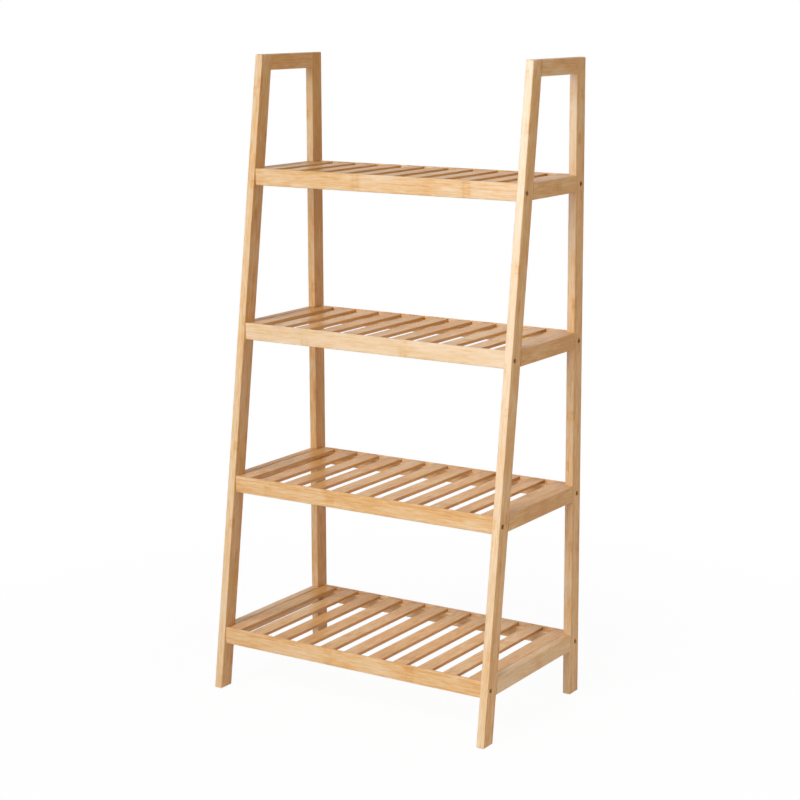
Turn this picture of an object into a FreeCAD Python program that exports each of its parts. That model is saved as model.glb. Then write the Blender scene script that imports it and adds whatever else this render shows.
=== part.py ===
import FreeCAD, Part
import os
from math import cos, radians, sin, sqrt

# A slatted ladder shelf in laminated bamboo, in millimetres.
# The origin is on the floor under the middle of the base. X runs across the width,
# the front faces -Y and Z is up.

# The whole unit.
WIDTH = 600.0
HEIGHT = 1200.0
BASE_DEPTH = 355.0              # front of the front foot to the back of the rear foot
TOP_DEPTH = 193.0               # the same at the leg tops, where the lean ends

# Side frames: a leaning front leg, an upright rear leg and the rails between them.
LEG_THICKNESS = 16.0            # across the width, with side and top rails flush to it
LEG_DEPTH = 32.0                # square to the leg's length
SIDE_RAIL_HEIGHT = 31.0
TOP_RAIL_HEIGHT = 30.0
EDGE_ROUND = 2.0                # on the long edges of legs and rails

# Shelves: a front and a rear rail, rebated along the inside for the ends of the slats.
SHELF_COUNT = 4
LOWEST_SHELF_TOP = 118.0        # above the floor
FRAME_ABOVE_TOP_SHELF = 212.0   # from the highest shelf to the leg tops
SHELF_RAIL_HEIGHT = 32.0
SHELF_RAIL_THICKNESS = 12.0
FRONT_RAIL_SETBACK = 2.0        # behind the leg's front face, at the rail's top edge
REAR_RAIL_SETBACK = 7.0         # in front of the rear leg's back face
RAIL_LIP = 4.0                  # wood left outside the rebate
SLAT_COUNT = 11
SLAT_WIDTH = 30.0
SLAT_THICKNESS = 6.0
SLAT_RECESS = 1.0               # tops of the slats below the tops of the rails around them
SLAT_SIDE_GAP = 1.0             # between the outer slats and the side rails
SLAT_END_CLEARANCE = 0.2        # between a slat's end and the lip
SLAT_ROUND = 1.0                # on the long edges of the slats
SLATS_PER_GROUP = 2             # neighbouring slats kept together in one node

# Bolts with hexagon sockets, sunk in the legs, and the barrel nuts they pull on.
BOLT_DIAMETER = 5.0
BOLT_BELOW_TOP = 17.0           # bolt's axis below the top of its shelf rail
BOLT_LENGTH = 50.0              # under the head
BOLT_CLEARANCE = 0.5            # on the diameter of the bolt's hole in the wood
HEAD_DIAMETER = 8.5
HEAD_HEIGHT = 5.0
HEAD_CLEARANCE = 0.5            # on the diameter of the counterbore
HEAD_SINK = 4.0                 # top of the head below the leg's outer face
HEAD_CHAMFER = 0.5
SOCKET_ACROSS_FLATS = 4.0
SOCKET_DEPTH = 2.5
TIP_PAST_NUT = 6.0              # bolt that stands out beyond the nut
TIP_ROOM = 2.0                  # hole left free beyond the bolt's tip
NUT_DIAMETER = 10.0
NUT_COVER = 2.0                 # wood left between the nut and the rail's front face
NUT_CLEARANCE = 0.2             # on the diameter of the nut's hole
THREAD_CLEARANCE = 0.1          # on the diameter, between bolt and nut
NUT_SLOT_WIDTH = 1.2            # screwdriver slot that turns the nut to the bolt
NUT_SLOT_DEPTH = 1.2

# Dowels, two in each butt joint of the side frames.
DOWEL_DIAMETER = 6.0
DOWEL_LENGTH = 20.0
DOWEL_SPACING = 16.0
DOWEL_CHAMFER = 0.8
DOWEL_CLEARANCE = 0.2           # on the diameter of the dowel's hole
DOWEL_END_ROOM = 0.5            # hole left free at each end of the dowel

# Sizes that follow from the driving dimensions.
SHELF_PITCH = (HEIGHT - FRAME_ABOVE_TOP_SHELF - LOWEST_SHELF_TOP) / (SHELF_COUNT - 1)
INNER_WIDTH = WIDTH - 2 * LEG_THICKNESS
SLAT_PITCH = (INNER_WIDTH - 2 * SLAT_SIDE_GAP - SLAT_WIDTH) / (SLAT_COUNT - 1)
LEAN = (BASE_DEPTH - TOP_DEPTH) / HEIGHT
FRONT_LEG_RUN = LEG_DEPTH * sqrt(1 + LEAN ** 2)
BACK = BASE_DEPTH / 2
REAR_LEG_FRONT = BACK - LEG_DEPTH
REAR_RAIL_FRONT = BACK - REAR_RAIL_SETBACK - SHELF_RAIL_THICKNESS
COUNTERBORE_DEPTH = HEAD_SINK + HEAD_HEIGHT
REBATE_DEPTH = SLAT_THICKNESS + SLAT_RECESS
BOLT_REACH = BOLT_LENGTH - (LEG_THICKNESS - COUNTERBORE_DEPTH)
NUT_FROM_END = BOLT_REACH - TIP_PAST_NUT - NUT_DIAMETER / 2
NUT_LENGTH = SHELF_RAIL_THICKNESS - NUT_COVER
SHELF_TOPS = [LOWEST_SHELF_TOP + SHELF_PITCH * level for level in range(SHELF_COUNT)]
SIDES = {"left": -1, "right": 1}

X_AXIS = FreeCAD.Vector(1, 0, 0)
Y_AXIS = FreeCAD.Vector(0, 1, 0)


def front_leg_front(z):
    """Y of the front leg's front face at height z."""
    return -BASE_DEPTH / 2 + LEAN * z


def front_leg_back(z):
    """Y of the front leg's rear face, where the side rails butt, at height z."""
    return front_leg_front(z) + FRONT_LEG_RUN


def front_rail_front(shelf_top):
    """Y of a front rail's upright front face."""
    return front_leg_front(shelf_top) + FRONT_RAIL_SETBACK


def prism(outline, x, thickness):
    """Solid with an outline of (y, z) points, from x to x + thickness."""
    points = [FreeCAD.Vector(x, y, z) for y, z in outline]
    face = Part.Face(Part.makePolygon(points + points[:1]))
    return face.extrude(X_AXIS * thickness)


def rod(diameter, length, start, axis):
    """Cylinder from a start point along an axis."""
    return Part.makeCylinder(diameter / 2, length, start, axis)


def edges_along(solid, axis):
    """Straight edges of a solid that run along an axis."""
    found = []
    for edge in solid.Edges:
        ends = edge.Vertexes
        direction = (ends[-1].Point - ends[0].Point).normalize()
        if abs(direction.dot(axis)) > 0.999:
            found.append(edge)
    return found


def side_start(side):
    """Lowest X of a side frame."""
    return side * WIDTH / 2 - max(side, 0) * LEG_THICKNESS


def side_middle(side):
    """X of the middle of a side frame's thickness."""
    return side_start(side) + LEG_THICKNESS / 2


def bolt_places():
    """(y, z) of every bolt's axis, in the middle of a shelf rail's thickness."""
    places = []
    for top in SHELF_TOPS:
        z = top - BOLT_BELOW_TOP
        places.append((front_rail_front(top) + SHELF_RAIL_THICKNESS / 2, z))
        places.append((REAR_RAIL_FRONT + SHELF_RAIL_THICKNESS / 2, z))
    return places


def bolt_hole(side, y, z):
    """Everything that is drilled for one bolt: counterbore and long hole."""
    outer = FreeCAD.Vector(side * WIDTH / 2, y, z)
    inward = X_AXIS * -side
    length = COUNTERBORE_DEPTH + BOLT_LENGTH + TIP_ROOM
    hole = rod(BOLT_DIAMETER + BOLT_CLEARANCE, length, outer, inward)
    return hole.fuse(rod(HEAD_DIAMETER + HEAD_CLEARANCE, COUNTERBORE_DEPTH, outer, inward))


def bolt(side, y, z):
    """Cap bolt with a hexagon socket, its head on the counterbore's floor."""
    inward = X_AXIS * -side
    head_top = FreeCAD.Vector(side * (WIDTH / 2 - HEAD_SINK), y, z)
    head = rod(HEAD_DIAMETER, HEAD_HEIGHT, head_top, inward)
    rim = [edge for edge in head.Edges if abs(edge.CenterOfMass.x - head_top.x) < HEAD_CHAMFER / 2]
    head = head.makeChamfer(HEAD_CHAMFER, rim)
    shank = rod(BOLT_DIAMETER, BOLT_LENGTH, head_top + inward * HEAD_HEIGHT, inward)
    corner = SOCKET_ACROSS_FLATS / sqrt(3)
    angles = [radians(60 * step) for step in range(6)]
    hexagon = [(y + corner * cos(angle), z + corner * sin(angle)) for angle in angles]
    socket = prism(hexagon, head_top.x, -side * SOCKET_DEPTH)
    return head.fuse(shank).removeSplitter().cut(socket)


def nut_place(side, y, z):
    """Centre of a barrel nut's open end, on a shelf rail's rear face."""
    x = side * (INNER_WIDTH / 2 - NUT_FROM_END)
    return FreeCAD.Vector(x, y + SHELF_RAIL_THICKNESS / 2, z)


def nut_hole(side, y, z):
    """Blind hole for a barrel nut, drilled from a shelf rail's rear face."""
    return rod(NUT_DIAMETER + NUT_CLEARANCE, NUT_LENGTH, nut_place(side, y, z), -Y_AXIS)


def barrel_nut(side, y, z):
    """Cross nut with its threaded hole on the bolt's axis and a slot in its open end."""
    open_end = nut_place(side, y, z)
    body = rod(NUT_DIAMETER, NUT_LENGTH, open_end, -Y_AXIS)
    thread_start = FreeCAD.Vector(open_end.x - NUT_DIAMETER / 2, y, z)
    thread = rod(BOLT_DIAMETER + THREAD_CLEARANCE, NUT_DIAMETER, thread_start, X_AXIS)
    corner = open_end - FreeCAD.Vector(NUT_DIAMETER / 2, NUT_SLOT_DEPTH, NUT_SLOT_WIDTH / 2)
    slot = Part.makeBox(NUT_DIAMETER, NUT_SLOT_DEPTH, NUT_SLOT_WIDTH, corner)
    return body.cut(thread).cut(slot)


def dowel_places(side, rail_top, rail_height):
    """Centres of the four dowels of one side-frame rail, on its two joint faces."""
    x = side_middle(side)
    middle = rail_top - rail_height / 2
    places = []
    for z in (middle - DOWEL_SPACING / 2, middle + DOWEL_SPACING / 2):
        places.append(FreeCAD.Vector(x, front_leg_back(z), z))
        places.append(FreeCAD.Vector(x, REAR_LEG_FRONT, z))
    return places


def dowel_hole(place):
    """Hole that one dowel fills half in the leg and half in the rail."""
    length = DOWEL_LENGTH + 2 * DOWEL_END_ROOM
    return rod(DOWEL_DIAMETER + DOWEL_CLEARANCE, length, place - Y_AXIS * (length / 2), Y_AXIS)


def dowel(place):
    """Round pin with chamfered ends."""
    pin = rod(DOWEL_DIAMETER, DOWEL_LENGTH, place - Y_AXIS * (DOWEL_LENGTH / 2), Y_AXIS)
    ends = [edge for edge in pin.Edges if edge.isClosed()]
    return pin.makeChamfer(DOWEL_CHAMFER, ends)


def frame_rails():
    """(name, top, height) of the rails in one side frame."""
    rails = [("top_rail", HEIGHT, TOP_RAIL_HEIGHT)]
    for level, top in enumerate(SHELF_TOPS):
        rails.append(("side_rail_%d" % (level + 1), top, SIDE_RAIL_HEIGHT))
    return rails


def frame_holes(side):
    """Every hole drilled in one side frame, for bolts and for dowels."""
    holes = [bolt_hole(side, y, z) for y, z in bolt_places()]
    for name, top, height in frame_rails():
        holes += [dowel_hole(place) for place in dowel_places(side, top, height)]
    return Part.makeCompound(holes)


def front_leg(side):
    """Leaning leg, cut level at the floor and at the top."""
    low = front_leg_front(0)
    high = front_leg_front(HEIGHT)
    outline = [(low, 0), (low + FRONT_LEG_RUN, 0), (high + FRONT_LEG_RUN, HEIGHT), (high, HEIGHT)]
    leg = prism(outline, side_start(side), LEG_THICKNESS)
    return leg.makeFillet(EDGE_ROUND, leg.Edges)


def rear_leg(side):
    """Upright leg."""
    corner = FreeCAD.Vector(side_start(side), REAR_LEG_FRONT, 0)
    leg = Part.makeBox(LEG_THICKNESS, LEG_DEPTH, HEIGHT, corner)
    return leg.makeFillet(EDGE_ROUND, leg.Edges)


def frame_rail(side, top, height):
    """Side or top rail, its front end cut to the lean of the front leg."""
    bottom = top - height
    outline = [
        (front_leg_back(bottom), bottom),
        (REAR_LEG_FRONT, bottom),
        (REAR_LEG_FRONT, top),
        (front_leg_back(top), top),
    ]
    rail = prism(outline, side_start(side), LEG_THICKNESS)
    return rail.makeFillet(EDGE_ROUND, edges_along(rail, Y_AXIS))


def shelf_rail(front, top, lip_at_front):
    """Front or rear shelf rail between the legs, with a rebate on its inner top edge."""
    outer, inner = front, front + SHELF_RAIL_THICKNESS
    towards_slats = 1
    if not lip_at_front:
        outer, inner = inner, outer
        towards_slats = -1
    bottom = top - SHELF_RAIL_HEIGHT
    floor = top - REBATE_DEPTH
    lip = outer + towards_slats * RAIL_LIP
    outline = [(outer, bottom), (inner, bottom), (inner, floor), (lip, floor), (lip, top), (outer, top)]
    rail = prism(outline, -INNER_WIDTH / 2, INNER_WIDTH)
    corners = [(outer, bottom), (inner, bottom), (outer, top)]
    rounded = []
    for edge in edges_along(rail, X_AXIS):
        place = edge.CenterOfMass
        if any(abs(place.y - y) + abs(place.z - z) < EDGE_ROUND / 2 for y, z in corners):
            rounded.append(edge)
    rail = rail.makeFillet(EDGE_ROUND, rounded)
    y = front + SHELF_RAIL_THICKNESS / 2
    z = top - BOLT_BELOW_TOP
    for side in SIDES.values():
        rail = rail.cut(bolt_hole(side, y, z)).cut(nut_hole(side, y, z))
    return rail


def slat(number, top):
    """One slat, lying in the rebates of the two shelf rails."""
    x = -INNER_WIDTH / 2 + SLAT_SIDE_GAP + SLAT_PITCH * number
    front = front_rail_front(top) + RAIL_LIP + SLAT_END_CLEARANCE
    rear = REAR_RAIL_FRONT + SHELF_RAIL_THICKNESS - RAIL_LIP - SLAT_END_CLEARANCE
    corner = FreeCAD.Vector(x, front, top - REBATE_DEPTH)
    board = Part.makeBox(SLAT_WIDTH, rear - front, SLAT_THICKNESS, corner)
    return board.makeFillet(SLAT_ROUND, edges_along(board, Y_AXIS))


def save(name, solids):
    """Write one node: a piece, or a group of like pieces."""
    shape = solids[0] if len(solids) == 1 else Part.makeCompound(solids)
    shape.exportStep("parts/%s.step" % name)


def build_side_frame(name, side):
    """Legs, side rails and top rail of one side."""
    holes = frame_holes(side)
    save("%s_front_leg" % name, [front_leg(side).cut(holes)])
    save("%s_rear_leg" % name, [rear_leg(side).cut(holes)])
    for rail, top, height in frame_rails():
        save("%s_%s" % (name, rail), [frame_rail(side, top, height).cut(holes)])


def build_shelf(number, top):
    """Front rail, rear rail and slats of one shelf."""
    save("shelf_%d_front_rail" % number, [shelf_rail(front_rail_front(top), top, True)])
    save("shelf_%d_rear_rail" % number, [shelf_rail(REAR_RAIL_FRONT, top, False)])
    for first in range(0, SLAT_COUNT, SLATS_PER_GROUP):
        group = range(first, min(first + SLATS_PER_GROUP, SLAT_COUNT))
        label = "_".join(str(index + 1) for index in group)
        name = "shelf_%d_slat%s_%s" % (number, "s" if len(group) > 1 else "", label)
        save(name, [slat(index, top) for index in group])


def build_fasteners():
    """Bolts, nuts and dowels, each kind in one node."""
    ends = [(side, y, z) for side in SIDES.values() for y, z in bolt_places()]
    save("bolts", [bolt(*end) for end in ends])
    save("barrel_nuts", [barrel_nut(*end) for end in ends])
    pins = {"side_rail_dowels": [], "top_rail_dowels": []}
    for side in SIDES.values():
        for rail, top, height in frame_rails():
            kind = "top_rail_dowels" if rail == "top_rail" else "side_rail_dowels"
            pins[kind] += [dowel(place) for place in dowel_places(side, top, height)]
    for kind, group in pins.items():
        save(kind, group)


os.makedirs("parts", exist_ok=True)
for frame_name, frame_side in SIDES.items():
    build_side_frame(frame_name, frame_side)
for level, shelf_top in enumerate(SHELF_TOPS):
    build_shelf(level + 1, shelf_top)
build_fasteners()
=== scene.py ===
import math

import bpy
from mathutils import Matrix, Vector


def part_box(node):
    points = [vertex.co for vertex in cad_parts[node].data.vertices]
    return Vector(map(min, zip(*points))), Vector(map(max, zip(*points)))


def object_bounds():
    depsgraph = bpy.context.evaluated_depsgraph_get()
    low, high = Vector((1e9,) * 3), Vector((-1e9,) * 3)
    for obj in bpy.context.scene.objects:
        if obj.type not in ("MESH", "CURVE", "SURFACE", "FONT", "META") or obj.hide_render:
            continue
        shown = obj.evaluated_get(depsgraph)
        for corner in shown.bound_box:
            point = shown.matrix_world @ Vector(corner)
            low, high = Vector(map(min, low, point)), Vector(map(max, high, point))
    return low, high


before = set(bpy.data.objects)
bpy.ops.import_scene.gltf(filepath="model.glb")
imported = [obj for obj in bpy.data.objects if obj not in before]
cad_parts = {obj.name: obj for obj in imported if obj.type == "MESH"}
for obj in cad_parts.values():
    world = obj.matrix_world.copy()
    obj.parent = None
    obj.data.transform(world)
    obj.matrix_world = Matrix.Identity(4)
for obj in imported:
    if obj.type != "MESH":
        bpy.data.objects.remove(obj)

cad_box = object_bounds()

# Front legs: two bars of laminated bamboo that lean back, cut level at the floor and at the top.
# Each is glued up from long split strips, planed, given soft edges and lacquered. The cane's
# joints show on single strips as short soft ticks.
X, Y, Z = Vector((1, 0, 0)), Vector((0, 1, 0)), Vector((0, 0, 1))


class Signal:
    """An output socket of a material. Maths written on it adds Math nodes."""

    def __init__(self, tree, socket=None):
        self.tree = tree
        self.socket = socket

    def node(self, kind, settings=None, inputs=None, output=0):
        """Any other node: its settings first, then its sockets' values or links."""
        made = self.tree.nodes.new(kind)
        for name, value in (settings or {}).items():
            if name == "stops":
                set_stops(made.color_ramp, value)
            else:
                setattr(made, name, value)
        for name, value in (inputs or {}).items():
            if isinstance(value, Signal):
                self.tree.links.new(value.socket, made.inputs[name])
            else:
                made.inputs[name].default_value = value
        return Signal(self.tree, made.outputs[output] if made.outputs else None)

    def other(self, output):
        """Another output of the same node."""
        return Signal(self.tree, self.socket.node.outputs[output])

    def math(self, operation, *values):
        return self.node("ShaderNodeMath", {"operation": operation}, dict(enumerate(values)))

    def __add__(self, other):
        return self.math("ADD", self, other)

    def __sub__(self, other):
        return self.math("SUBTRACT", self, other)

    def __rsub__(self, other):
        return self.math("SUBTRACT", other, self)

    def __mul__(self, other):
        return self.math("MULTIPLY", self, other)

    def __truediv__(self, other):
        return self.math("DIVIDE", self, other)

    def __mod__(self, other):
        return self.math("FLOORED_MODULO", self, other)

    def __abs__(self):
        return self.math("ABSOLUTE", self)

    __radd__ = __add__
    __rmul__ = __mul__

    def floor(self):
        return self.math("FLOOR", self)

    def over(self, limit):
        """1 where this is above a limit, and 0 elsewhere."""
        return self.math("GREATER_THAN", self, limit)

    def most(self, other):
        return self.math("MAXIMUM", self, other)

    def least(self, other):
        return self.math("MINIMUM", self, other)

    def fade(self, start, end, low=0.0, high=1.0):
        """Smooth step from low at start to high at end."""
        settings = {"interpolation_type": "SMOOTHSTEP"}
        sockets = {"Value": self, "From Min": start, "From Max": end, "To Min": low, "To Max": high}
        return self.node("ShaderNodeMapRange", settings, sockets)

    def fade_out(self, start, end):
        """Smooth step from 1 at start to 0 at end."""
        return self.fade(start, end, 1.0, 0.0)

    def along(self, direction):
        """Distance of this point along a direction."""
        settings = {"operation": "DOT_PRODUCT"}
        return self.node("ShaderNodeVectorMath", settings, {0: self, 1: direction}, output="Value")

    def point(self, x, y, z):
        return self.node("ShaderNodeCombineXYZ", inputs={0: x, 1: y, 2: z})

    def noise(self, x, y, z, detail, roughness=0.5):
        """Soft noise about 0, roughly from -0.5 to 0.5."""
        place = self.point(x, y, z)
        sockets = {"Vector": place, "Scale": 1.0, "Detail": detail, "Roughness": roughness}
        return self.node("ShaderNodeTexNoise", inputs=sockets) - 0.5

    def chance(self, x, y, z):
        """Random number from 0 to 1 for a cell. Outputs 1 and 2 are two more."""
        cell = self.point(x + 0.5, y + 0.5, z + 0.5)
        luck = self.node("ShaderNodeTexWhiteNoise", {"noise_dimensions": "3D"}, {"Vector": cell}, "Color")
        return self.node("ShaderNodeSeparateColor", inputs={"Color": luck})

    def blend(self, first, second, share):
        """Mix two colours."""
        settings = {"data_type": "RGBA", "clamp_factor": True}
        return self.node("ShaderNodeMix", settings, {0: share, 6: first, 7: second}, output=2)


def set_stops(ramp, stops):
    """Give a colour ramp its stops, as (position, colour) pairs."""
    while len(ramp.elements) < len(stops):
        ramp.elements.new(1.0)
    for element, (position, colour) in zip(ramp.elements, stops):
        element.position = position
        element.color = colour


def tint(shade):
    """Linear colour of a shade given in 8-bit display values."""
    display = [value / 255 for value in shade]
    linear = [v / 12.92 if v <= 0.04045 else ((v + 0.055) / 1.055) ** 2.4 for v in display]
    return (*linear, 1.0)


def new_finish(name):
    """An empty material and a signal to build it from."""
    material = bpy.data.materials.new(name)
    material.use_nodes = True
    material.node_tree.nodes.clear()
    return material, Signal(material.node_tree)


def dress(piece, material):
    """Put one finish on every slot of a piece."""
    for slot in piece.material_slots:
        slot.material = material


def grain(u, v, w, scale, detail, roughness=0.5, shift=None):
    """Noise drawn out along u. The scale is per metre, along u and across it."""
    lengthwise, crosswise = scale
    x = u * lengthwise
    if shift is not None:
        x = x + shift
    return u.noise(x, v * crosswise, w * crosswise, detail, roughness)


PALE = (228, 198, 162)          # shades of bamboo as 8-bit display values
STRAW = (223, 186, 142)
HONEY = (215, 163, 102)
AMBER = (201, 143, 79)
JOINT_BROWN = (160, 102, 52)
SHADES = ((0.0, PALE), (0.3, STRAW), (0.6, HONEY), (0.9, AMBER))
FIBRE = (36.0, 420.0)           # scales of the grain per metre, along the strips and across them
STREAK = (10.0, 230.0)
VESSEL = (42.0, 1500.0)
PATCH = (8.0, 22.0)
JOINT_WAVE = (25.0, 130.0)
JOINT_STRAY = 0.006             # how far that wave shifts a joint along its strip
INTERNODE = 0.235               # between two joints of the cane
JOINT_FLUSH = (0.002, 0.018)    # from a joint, where its flush of amber fades out
JOINT_LINE = 0.006              # from a joint to each of its two lines
LINE_BLUR = (0.0004, 0.0026)    # from such a line, where it fades out
FAINTEST_JOINT = 0.25
SEAM = (0.46, 0.5)              # from a strip's middle, as shares of its width
PAINTED_LIGHT_BLEND = (0.0012, 0.0002)   # depth inside an edge face, where its painted light and shade come in
LACQUER_IOR = 1.6
LACQUER_ROUGHNESS = 0.26


def bamboo(name, run, wide, middle, width, thickness, strips, loose_rings, seed, tone, pitch=None,
           rings=(), painted_edge_light=0.0):
    """Lacquered bamboo for one bar, or for a row of bars at a pitch across wide.

    The bar's strips lie along run, side by side across wide, in two layers. loose_rings is the
    share of strips whose rings don't line up with those of their neighbours. A higher tone is
    more amber. rings gives the places of the rings along the bar, from its middle, where they
    are known. The last argument is painted light and shade on the faces at both ends of wide:
    above 0 they are painted paler, a painted sheen, and below 0 darker, a painted shade.
    """
    material, start = new_finish(name)
    thin = run.cross(wide)
    place = start.node("ShaderNodeTexCoord", output="Object")
    u = place.along(run) - run.dot(middle)
    v = place.along(wide) - wide.dot(middle)
    w = place.along(thin) - thin.dot(middle)
    bar = 0.0
    if pitch:
        bar = (v / pitch + 0.5).floor()
        v = v - bar * pitch

    # A little under the full size, so that a face lies inside its strip
    inside = 0.98
    across = v * (inside * strips / width) + strips / 2
    strip = across.floor()
    layer = (w * (2 * inside / thickness)).floor()

    # Luck of each strip and of each bar. The steps keep the cells of different draws apart.
    bar_step, strip_step, layer_step = 11.0, 5.0, 0.25
    bar_draw, joint_draw = seed + 0.3, seed + 0.7
    luck = start.chance(strip + bar * bar_step, layer, seed)
    strip_tone, ring_luck, drift = luck, luck.other(1), luck.other(2)
    bar_luck = start.chance(bar, 0.0, bar_draw)
    bar_tone = bar_luck.other(1)
    spread, seed_step = 40.0, 3.1
    strip_shift = drift * spread + seed * seed_step
    bar_shift = bar_luck * spread + seed * seed_step

    # Long fibres, broad streaks, dark short vessels and slow patches of tone
    fibre = grain(u, v, w, FIBRE, detail=3.0, roughness=0.65, shift=strip_shift)
    streak = grain(u, v, w, STREAK, detail=2.0, shift=bar_shift)
    vessel = grain(u, v, w, VESSEL, detail=1.0, shift=strip_shift).fade(0.1, 0.26)
    patch = grain(u, v, w, PATCH, detail=2.0, shift=bar_shift)

    # Rings where the cane had its joints: a flush of amber with two soft lines. Where their places
    # aren't known, a joint strays by up to a quarter of an internode.
    own = ring_luck.over(1 - loose_rings)
    lengthwise, crosswise = JOINT_WAVE
    wave = start.noise(u * lengthwise, v * crosswise + strip_shift, w * crosswise, detail=1.0)
    wobble = wave * JOINT_STRAY
    if rings:
        from_ring = abs(u + wobble - rings[0])
        for spot in rings[1:]:
            from_ring = from_ring.least(abs(u + wobble - spot))
        joint_luck = start.chance(strip, layer, joint_draw)
    else:
        cane = (u + wobble) / INTERNODE + bar_luck + own * drift
        joint = cane.floor()
        own_strip = own * strip * strip_step
        joint_luck = start.chance(joint + own_strip, bar + layer * layer_step, joint_draw)
        from_ring = abs((cane - joint - 0.5 + (joint_luck - 0.5) * 0.5) * INTERNODE)
    strength = joint_luck.other(1).fade(0.0, 1.0, FAINTEST_JOINT, 1.0)
    flush = from_ring.fade_out(*JOINT_FLUSH) * strength
    ring = abs(from_ring - JOINT_LINE).fade_out(*LINE_BLUR) * strength

    # Glue lines between the strips, and the edge faces, which take painted light and shade
    seam = abs(across % 1.0 - 0.5).fade(*SEAM)
    painted_light_face = abs(v).fade(width / 2 - PAINTED_LIGHT_BLEND[0], width / 2 - PAINTED_LIGHT_BLEND[1])

    shade = (strip_tone - 0.5) * 0.15 + (bar_tone - 0.5) * 0.25 + (tone + 0.5)
    # Painted light and shade: the edge faces are painted paler above 0 and darker below it
    shade = shade + patch * 0.9 + streak * 0.5 + fibre * 1.5 + flush * 0.25 - painted_light_face * painted_edge_light
    stops = [(position, tint(colour)) for position, colour in SHADES]
    colour = start.node("ShaderNodeValToRGB", {"stops": stops}, {"Fac": shade * 0.75 + 0.225})
    colour = start.blend(colour, tint(JOINT_BROWN), ring * 0.13 + vessel * 0.14 + seam * 0.03)

    relief = fibre * 0.25 - vessel * 0.4 + ring * 0.4
    bump = start.node("ShaderNodeBump", inputs={"Strength": 0.2, "Distance": 0.0003, "Height": relief})
    surface = start.node("ShaderNodeBsdfPrincipled", inputs={
        "Base Color": colour, "Roughness": fibre * 0.14 + vessel * 0.08 + 0.42,
        "Specular IOR Level": 0.0, "Coat Weight": fibre * 0.3 - vessel * 0.1 + 0.56,
        "Coat Roughness": LACQUER_ROUGHNESS, "Coat IOR": LACQUER_IOR, "Normal": bump})
    start.node("ShaderNodeOutputMaterial", inputs={"Surface": surface})
    return material


def middle_of(node):
    low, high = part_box(node)
    return (low + high) / 2


SIDES = ("left", "right")
LEG_STRIPS = 4
LEG_LOOSE_RINGS = 0.8
FRONT_LEG_SEED = 1
FRONT_LEG_TONES = {"left": 0.0, "right": -0.05}
# The front and back faces of the front legs are painted paler, a painted sheen, most on the right leg
FRONT_LEG_PAINTED_SHEEN = {"left": 0.25, "right": 0.45}
low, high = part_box("left_rear_leg")
leg_thickness = high.x - low.x
leg_depth = high.y - low.y
low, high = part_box("left_front_leg")
lean = Vector((0, high.y - low.y - leg_depth, high.z - low.z)).normalized()
for seed, side in enumerate(SIDES, FRONT_LEG_SEED):
    node = side + "_front_leg"
    finish = bamboo(node, lean, lean.cross(X), middle_of(node), leg_depth, leg_thickness, LEG_STRIPS,
                    LEG_LOOSE_RINGS, seed, FRONT_LEG_TONES[side], painted_edge_light=FRONT_LEG_PAINTED_SHEEN[side])
    dress(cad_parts[node], finish)

# Rear legs: two bars of the same section that stand upright, with the same cut ends and edges.
# They are planed and lacquered as the front legs are.
REAR_LEG_SEED = 4
# The rear legs' tones are partly their own and partly painted shade: they are darker for the shade of the
# shelves, the left one most
REAR_LEG_TONES_AND_SHADE = {"left": 0.3, "right": 0.1}
# Their front and back faces are painted paler, painted light
REAR_LEG_PAINTED_LIGHT = 0.4
for seed, side in enumerate(SIDES, REAR_LEG_SEED):
    node = side + "_rear_leg"
    finish = bamboo(node, Z, Y, middle_of(node), leg_depth, leg_thickness, LEG_STRIPS,
                    LEG_LOOSE_RINGS, seed, REAR_LEG_TONES_AND_SHADE[side], painted_edge_light=REAR_LEG_PAINTED_LIGHT)
    dress(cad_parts[node], finish)

# Side rails and top rails: short bars that close each side frame between its two legs. Their
# front ends are cut to the lean of the leg, and both ends are doweled and glued.
SHELVES = range(1, 5)           # counted from the lowest
RAIL_STRIPS = 3
RAIL_LOOSE_RINGS = 0.3
SIDE_RAIL_SEED = 10
SIDE_RAIL_TONES = (-0.3, 0.1, 0.2, 0.1, 0.0)    # from the lowest rail to the top rail
SIDE_RINGS = {"right_side_rail_1": (0.015,), "right_side_rail_2": (-0.051, 0.009, 0.066),
              "right_side_rail_4": (0.017,)}
seed = SIDE_RAIL_SEED
for side in SIDES:
    rails = ["%s_side_rail_%d" % (side, shelf) for shelf in SHELVES] + [side + "_top_rail"]
    for node, tone in zip(rails, SIDE_RAIL_TONES):
        low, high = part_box(node)
        finish = bamboo(node, Y, Z, middle_of(node), high.z - low.z, leg_thickness, RAIL_STRIPS,
                        RAIL_LOOSE_RINGS, seed, tone, rings=SIDE_RINGS.get(node, ()))
        dress(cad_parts[node], finish)
        seed += 1

# Dowels: turned beech pins, two in each butt joint of the side frames. Half of each is glued
# into the leg and half into the rail, so they don't show on the finished shelf.
BEECH = (219, 178, 134)
BEECH_FLECK = (178, 128, 86)
BEECH_FIGURE = (30.0, 900.0)
BEECH_FLECKS = (320.0, 2600.0)
finish, start = new_finish("beech_dowel")
place = start.node("ShaderNodeTexCoord", output="Object")
u, v, w = place.along(Y), place.along(X), place.along(Z)
figure = grain(u, v, w, BEECH_FIGURE, detail=3.0)
fleck = grain(u, v, w, BEECH_FLECKS, detail=1.0).fade(0.12, 0.22)
colour = start.blend(tint(BEECH), tint(BEECH_FLECK), figure.fade(-0.3, 0.4) * 0.5 + fleck * 0.5)
bump = start.node("ShaderNodeBump", inputs={
    "Strength": 0.3, "Distance": 0.0002, "Height": figure - fleck})
surface = start.node("ShaderNodeBsdfPrincipled", inputs={
    "Base Color": colour, "Roughness": figure * 0.2 + 0.7, "Normal": bump})
start.node("ShaderNodeOutputMaterial", inputs={"Surface": surface})
dress(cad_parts["side_rail_dowels"], finish)
dress(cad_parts["top_rail_dowels"], finish)

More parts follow.
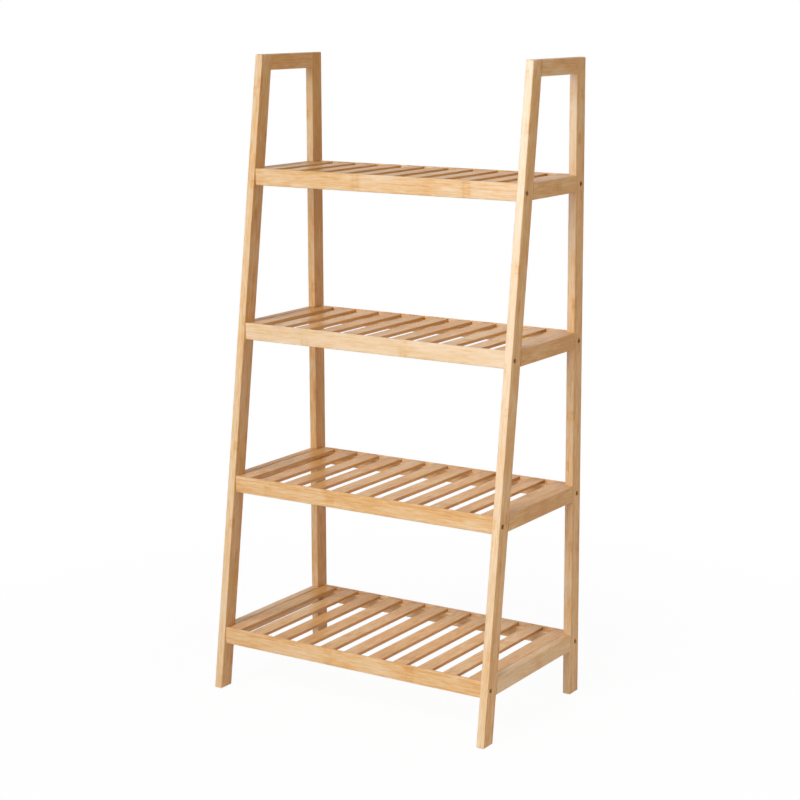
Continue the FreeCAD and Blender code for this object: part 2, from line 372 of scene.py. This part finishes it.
# Shelf rails: one board at the front and one at the back of each shelf, bolted between the side
# frames. Each has a rebate along its inner top edge that carries the slats.
SHELF_RAIL_SEED = 32
FRONT_RINGS = {1: (-0.046, 0.133), 2: (-0.208, -0.065), 3: (-0.148, 0.071), 4: (-0.057, 0.18)}
FRONT_TONES = {1: -0.25, 2: -0.07, 3: -0.35, 4: -0.42}
REAR_TONE = -0.27
seed = SHELF_RAIL_SEED
for shelf in SHELVES:
    boards = (("front", FRONT_TONES[shelf], FRONT_RINGS[shelf]), ("rear", REAR_TONE, ()))
    for end, tone, rings in boards:
        node = "shelf_%d_%s_rail" % (shelf, end)
        low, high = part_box(node)
        finish = bamboo(node, X, Z, middle_of(node), high.z - low.z, high.y - low.y, RAIL_STRIPS,
                        RAIL_LOOSE_RINGS, seed, tone, rings=rings)
        dress(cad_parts[node], finish)
        seed += 1

# Slats: eleven flat strips on each shelf, laid front to back with open gaps, and glued into the
# rebates of the two rails. They are single layers of bamboo, so their tone changes from one to
# the next.
SLAT_STRIPS = 2
SLAT_LOOSE_RINGS = 0.3
SLAT_SEED = 51
SLAT_TONE = 0.05
# The slats' side faces are painted darker, painted shade between the slats
SLAT_PAINTED_SHADE = -0.5
low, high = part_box("shelf_1_slat_11")
slat_width = high.x - low.x
slat_thickness = high.z - low.z
pair_low, pair_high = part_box("shelf_1_slats_1_2")
slat_pitch = pair_high.x - pair_low.x - slat_width
for seed, shelf in enumerate(SHELVES, SLAT_SEED):
    groups = ["shelf_%d_slats_%d_%d" % (shelf, first, first + 1) for first in range(1, 10, 2)]
    groups.append("shelf_%d_slat_11" % shelf)
    finish = bamboo("shelf_%d_slats" % shelf, Y, X, middle_of(groups[-1]), slat_width, slat_thickness,
                    SLAT_STRIPS, SLAT_LOOSE_RINGS, seed, SLAT_TONE, slat_pitch,
                    painted_edge_light=SLAT_PAINTED_SHADE)
    for node in groups:
        dress(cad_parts[node], finish)

# Barrel nuts: cross nuts of zinc plated steel that lie in the ends of the shelf rails. They are
# turned on a lathe, then drilled and slotted, and the plating is a little cloudy.
ZINC = (192, 193, 190)
ZINC_CLOUD = (150, 154, 158)
CLOUDS = (350.0, 350.0)
TURNING_MARKS = (9000.0, 60.0)
finish, start = new_finish("zinc_steel")
place = start.node("ShaderNodeTexCoord", output="Object")
u, v, w = place.along(Y), place.along(X), place.along(Z)
cloud = grain(u, v, w, CLOUDS, detail=3.0)
turning = grain(u, v, w, TURNING_MARKS, detail=1.0)
colour = start.blend(tint(ZINC), tint(ZINC_CLOUD), cloud.fade(-0.25, 0.25))
bump = start.node("ShaderNodeBump", inputs={"Strength": 0.2, "Distance": 0.0001, "Height": turning})
surface = start.node("ShaderNodeBsdfPrincipled", inputs={
    "Base Color": colour, "Metallic": 1.0, "Roughness": cloud * 0.2 + turning * 0.1 + 0.36,
    "Normal": bump})
start.node("ShaderNodeOutputMaterial", inputs={"Surface": surface})
dress(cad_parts["barrel_nuts"], finish)

# Bolts: socket cap bolts of blackened steel, sunk in the outer faces of the legs. Each goes
# through a leg into the end of a shelf rail and pulls on a barrel nut there.
OXIDE = (20, 12, 7)
OXIDE_WORN = (46, 31, 19)
SCUFFS = (900.0, 900.0)
THREAD_PITCH = 0.0008
THREAD_RUN_OUT = 0.001
finish, start = new_finish("dark_steel")
place = start.node("ShaderNodeTexCoord", output="Object")
u, v, w = place.along(X), place.along(Y), place.along(Z)
scuff = grain(u, v, w, SCUFFS, detail=4.0, roughness=0.6)
thread_end = cad_box[1].x - leg_thickness
thread = abs(u / THREAD_PITCH % 1.0 - 0.5) * abs(u).fade_out(thread_end - THREAD_RUN_OUT, thread_end)
colour = start.blend(tint(OXIDE), tint(OXIDE_WORN), scuff.fade(0.0, 0.35))
bump = start.node("ShaderNodeBump", inputs={
    "Strength": 0.6, "Distance": 0.0004, "Height": thread + scuff * 0.1})
surface = start.node("ShaderNodeBsdfPrincipled", inputs={
    "Base Color": colour, "Metallic": 1.0, "Roughness": scuff * 0.3 + 0.5, "Normal": bump})
start.node("ShaderNodeOutputMaterial", inputs={"Surface": surface})
dress(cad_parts["bolts"], finish)

# Floor: a sweep of white paper. Close to the shelf it takes a faint shadow, and further away it
# fades into the white of the studio.
FLOOR_REACH = 6.0
SHADOW_SHARE = 0.04             # of the paper's own shade that shows beside the shelf
SHADOW_FADE = (0.4, 1.4)        # from the middle of the floor, where that share runs out
PAPER = (0.9, 0.87, 0.81, 1.0)
WHITE = (1.0, 1.0, 1.0, 1.0)
corners = [(x * FLOOR_REACH, y * FLOOR_REACH, 0) for x, y in ((-1, -1), (1, -1), (1, 1), (-1, 1))]
mesh = bpy.data.meshes.new("floor")
mesh.from_pydata(corners, [], [(0, 1, 2, 3)])
floor = bpy.data.objects.new("floor", mesh)
bpy.context.scene.collection.objects.link(floor)
finish, start = new_finish("white_paper")
place = start.node("ShaderNodeTexCoord", output="Object")
from_shelf = start.node("ShaderNodeVectorMath", {"operation": "LENGTH"}, {0: place}, output="Value")
seen = start.node("ShaderNodeLightPath", output="Is Camera Ray")
seen = seen.most(seen.other("Is Glossy Ray")).most(seen.other("Is Transmission Ray"))
paper = start.node("ShaderNodeBsdfDiffuse", inputs={"Color": PAPER})
white = start.node("ShaderNodeEmission", inputs={"Color": WHITE, "Strength": 1.0})
share = seen * from_shelf.fade(*SHADOW_FADE, 1 - SHADOW_SHARE, 1.0)
surface = start.node("ShaderNodeMixShader", inputs={0: share, 1: paper, 2: white})
start.node("ShaderNodeOutputMaterial", inputs={"Surface": surface})
mesh.materials.append(finish)

# Studio: white walls all round, seen as pure white, and softboxes on stands. A gridded bank hangs
# high in front, two strips at the left give the right front leg its sheen, and fills stand at the
# front right, at both sides and at the back.
AMBIENT = 0.05
RIGHT_WALL = 0.1                # dim in reflections, so that the right faces keep their colour
RIGHT_WALL_FADE = (0.3, 0.8)
world = bpy.data.worlds.new("studio")
bpy.context.scene.world = world
world.use_nodes = True
world.node_tree.nodes.clear()
start = Signal(world.node_tree)
seen = start.node("ShaderNodeLightPath", output="Is Camera Ray")
direction = start.node("ShaderNodeTexCoord", output="Generated")
mirrored = seen.other("Is Glossy Ray") * direction.along(X).fade(*RIGHT_WALL_FADE, 1.0, RIGHT_WALL)
seen = seen.most(seen.other("Is Transmission Ray")).most(mirrored)
walls = start.node("ShaderNodeBackground", inputs={
    "Color": WHITE, "Strength": seen * (1 - AMBIENT) + AMBIENT})
start.node("ShaderNodeOutputWorld", inputs={"Surface": walls})
DAYLIGHT = (0.93, 1.0, 1.1)
NEUTRAL = (1.0, 1.0, 1.0)
WARM = (1.08, 1.02, 0.9)


def softbox(name, place, target, width, height, power, colour=NEUTRAL, spread=180):
    """Rectangular lamp that faces a target. A grid narrows its spread in degrees."""
    lamp = bpy.data.lights.new(name, "AREA")
    lamp.shape = "RECTANGLE"
    lamp.size, lamp.size_y = width, height
    lamp.energy = power
    lamp.color = colour
    lamp.spread = math.radians(spread)
    holder = bpy.data.objects.new(name, lamp)
    holder.location = place
    holder.rotation_euler = (Vector(target) - Vector(place)).to_track_quat("-Z", "Y").to_euler()
    bpy.context.scene.collection.objects.link(holder)


softbox("high_bank", (0.2, -4.0, 4.2), (1.0, 0, 0.7), 3.0, 2.0, 32.5, DAYLIGHT, spread=60)
softbox("left_strip_high", (-0.85, -2.1, 1.65), (-0.25, 0, 1.3), 0.3, 1.1, 14.0, DAYLIGHT)
softbox("left_strip_low", (-0.85, -2.1, 0.6), (-0.25, 0, 0.6), 0.3, 1.0, 3.7, DAYLIGHT)
softbox("front_fill", (0.8, -1.8, 1.2), (0.2, 0, 0.6), 0.7, 1.4, 7.0, DAYLIGHT)
softbox("right_fill", (4.6, 0.4, 2.4), (0, 0, 0.7), 2.4, 1.8, 56.0, WARM)
softbox("left_fill", (-4.6, 0.4, 1.8), (0, 0, 0.6), 2.4, 2.4, 25.0)
softbox("back_fill", (0, 5.0, 2.0), (0, 0, 0.6), 3.0, 2.4, 80.0)

# Camera: in front of the shelf, to its right and a little above its middle, level from side
# to side.
PHOTO_SIZE = 800
EYE = Vector((1.9523, -2.9896, 1.3091))
YAW, PITCH = math.radians(31.787), math.radians(10.214)
FOCAL_PIXELS = 1951.5
CENTRE = (440.0, 347.0)         # pixel that the lens points at
SENSOR_WIDTH = 36.0
camera = bpy.data.cameras.new("camera")
camera.sensor_width = SENSOR_WIDTH
camera.lens = SENSOR_WIDTH * FOCAL_PIXELS / PHOTO_SIZE
camera.shift_x = (PHOTO_SIZE / 2 - CENTRE[0]) / PHOTO_SIZE
camera.shift_y = (CENTRE[1] - PHOTO_SIZE / 2) / PHOTO_SIZE
viewer = bpy.data.objects.new("camera", camera)
viewer.location = EYE
viewer.rotation_euler = (math.pi / 2 - PITCH, 0, YAW)
bpy.context.scene.collection.objects.link(viewer)
bpy.context.scene.camera = viewer
bpy.context.scene.view_settings.view_transform = "Standard"
